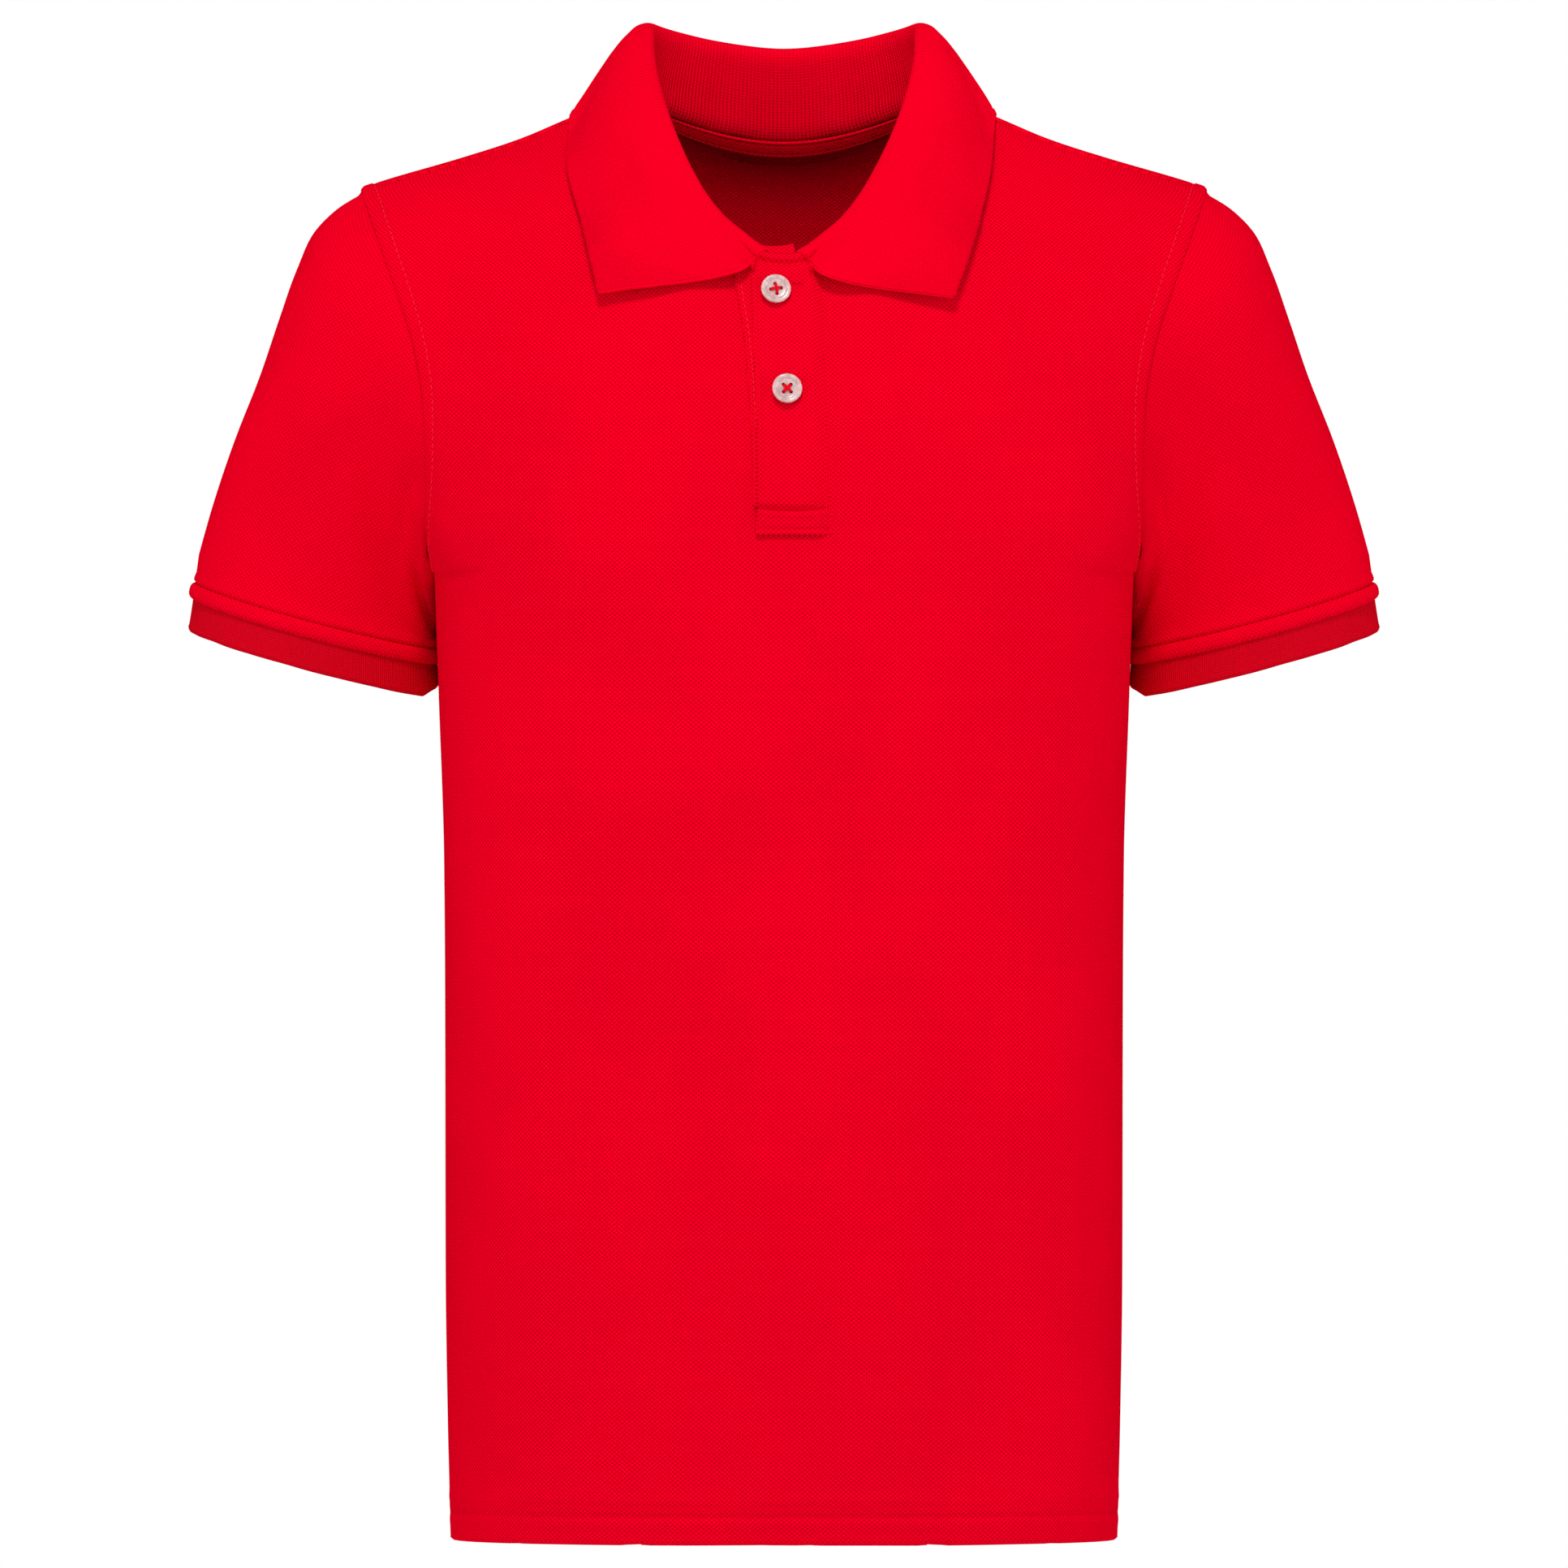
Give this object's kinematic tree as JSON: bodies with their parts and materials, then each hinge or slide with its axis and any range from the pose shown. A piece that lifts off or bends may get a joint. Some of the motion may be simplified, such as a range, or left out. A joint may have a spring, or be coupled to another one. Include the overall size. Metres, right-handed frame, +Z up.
{
  "type": "polo shirt",
  "caption": "Hollow short-sleeved polo shirt, filled out as worn, with a folded rib collar, a buttoned front placket and ribbed sleeve cuffs.",
  "frame": {"origin": "in the neck opening, midway between the shoulders that hold the shirt up", "axes": "+Z up, -Y toward the shirt's front, +X to the right of someone facing its front"},
  "size_m": [0.4568, 0.1939, 0.5786],
  "materials": {
    "pique_cloth": "matte",
    "rib_knit": "matte",
    "button_pearl": "gloss"
  },
  "bodies": {
    "root": {"front": "pique_cloth", "back": "pique_cloth", "sleeve_left": "pique_cloth", "sleeve_right": "pique_cloth", "cuff_left": "rib_knit", "cuff_right": "rib_knit", "collar": "rib_knit", "neck_tape": "pique_cloth", "placket_top": "pique_cloth", "placket_under": "pique_cloth", "button_1": "button_pearl", "button_2": "button_pearl"}
  },
  "joints": []
}
